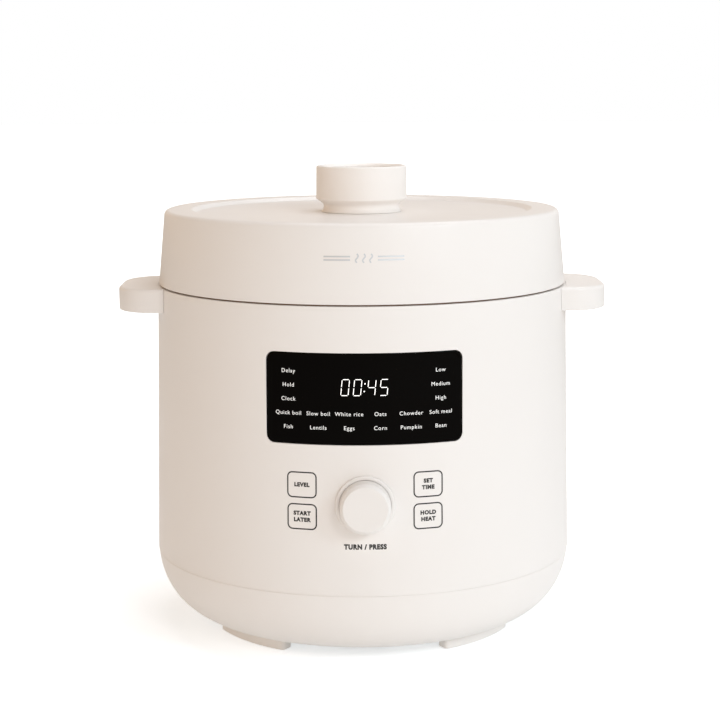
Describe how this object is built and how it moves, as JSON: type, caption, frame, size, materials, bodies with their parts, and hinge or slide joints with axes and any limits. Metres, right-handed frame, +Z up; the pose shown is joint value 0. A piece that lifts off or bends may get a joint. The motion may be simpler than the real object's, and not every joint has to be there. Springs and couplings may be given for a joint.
{
  "type": "electric pressure cooker",
  "caption": "Round electric pressure cooker with a turn-to-lock lid, curved dark display, front dial, side handles and a removable inner pot.",
  "frame": {"origin": "on the floor, on the axis of the pot, at the middle of the bounding box's bottom", "axes": "+Z up along the pot's axis, -Y towards the front with the dial and display, +X to the right seen from the front, through the right handle"},
  "size_m": [0.318, 0.299, 0.3015],
  "materials": {
    "cream_plastic": "satin gloss",
    "cream_matt": "fine matt",
    "black_window": "high gloss",
    "dark_plastic": "moulded",
    "steel": "brushed",
    "bare_aluminium": "satin",
    "coated_aluminium": "non-stick coating",
    "rubber_pad": "matt",
    "silicone": "translucent white",
    "circuit_board": "solder mask",
    "brass": "satin",
    "smoky_plastic": "smoky"
  },
  "bodies": {
    "cooker_base": {"base_cover": "cream_plastic", "base_screw_1": "steel", "base_screw_2": "steel", "base_screw_3": "steel", "base_screw_4": "steel", "body_shell": "cream_plastic", "cup_bracket": "cream_plastic", "dial_bezel": "cream_matt", "display_board": "circuit_board", "display_window": "black_window", "drain_spout": "dark_plastic", "encoder_body": "steel", "filter_capacitor": "black_window", "foot_front_left": "cream_plastic", "foot_front_right": "cream_plastic", "foot_rear_left": "cream_plastic", "foot_rear_right": "cream_plastic", "handle_left": "cream_plastic", "handle_right": "cream_plastic", "heat_sink": "bare_aluminium", "heating_element": "coated_aluminium", "heating_plate": "bare_aluminium", "led_module": "dark_plastic", "outer_pot": "bare_aluminium", "plate_support": "steel", "power_board": "circuit_board", "power_inlet": "dark_plastic", "power_relay": "dark_plastic", "pressure_switch": "dark_plastic", "sensor_spring": "steel", "thermal_fuse": "brass", "top_collar": "dark_plastic", "touch_board": "circuit_board", "touch_pad_left_lower": "rubber_pad", "touch_pad_left_upper": "rubber_pad", "touch_pad_right_lower": "rubber_pad", "touch_pad_right_upper": "rubber_pad"},
    "pot": {"inner_pot": "coated_aluminium"},
    "lid": {"lid_cover": "cream_plastic", "pressure_plate": "steel", "sealing_ring": "silicone", "seal_retainer": "steel", "valve_guide": "dark_plastic", "limiter_nozzle": "steel", "limiter_guard": "steel", "button_spring": "steel"},
    "lid_lock": {"lid_knob": "cream_plastic", "lock_spider": "steel", "lock_ring": "steel"},
    "release": {"release_button": "cream_matt", "release_valve": "steel"},
    "limiter": {"limiter_weight": "steel"},
    "float": {"float_pin": "steel", "float_cap": "silicone"},
    "sensor": {"sensor_cup": "bare_aluminium"},
    "dial_rotor": {"encoder_rotor": "brass"},
    "dial": {"control_dial": "cream_matt", "encoder_shaft": "steel"},
    "cup": {"condensate_cup": "smoky_plastic"}
  },
  "joints": [
    {"name": "pot_lift", "type": "slide", "parent": "cooker_base", "child": "pot", "axis": [0, 0, 1], "range_m": [0, 0.18]},
    {"name": "lid_lift", "type": "slide", "parent": "pot", "child": "lid", "axis": [0, 0, 1], "range_m": [0, 0.12]},
    {"name": "lock_turn", "type": "hinge", "parent": "lid", "child": "lid_lock", "pos_m": [0, 0, 0.27], "axis": [0, 0, -1], "range_deg": [0, 30]},
    {"name": "release_press", "type": "slide", "parent": "lid", "child": "release", "axis": [0, 0, -1], "range_m": [0, 0.003], "stiffness_N_per_m": 600, "springref_m": -0.004, "deforming": ["button_spring"]},
    {"name": "limiter_lift", "type": "slide", "parent": "lid", "child": "limiter", "axis": [0, 0, 1], "range_m": [0, 0.003]},
    {"name": "float_lift", "type": "slide", "parent": "lid", "child": "float", "axis": [0, 0, 1], "range_m": [0, 0.004]},
    {"name": "sensor_press", "type": "slide", "parent": "cooker_base", "child": "sensor", "axis": [0, 0, 1], "range_m": [-0.002, 0], "stiffness_N_per_m": 400, "springref_m": 0.004, "deforming": ["sensor_spring"]},
    {"name": "dial_turn", "type": "hinge", "parent": "cooker_base", "child": "dial_rotor", "pos_m": [0, -0.14, 0.1058], "axis": [0, -1, 0], "continuous": true},
    {"name": "dial_press", "type": "slide", "parent": "dial_rotor", "child": "dial", "axis": [0, 1, 0], "range_m": [0, 0.001], "stiffness_N_per_m": 800, "springref_m": -0.002},
    {"name": "cup_pull", "type": "slide", "parent": "cooker_base", "child": "cup", "axis": [0, 1, 0], "range_m": [0, 0.04]}
  ]
}
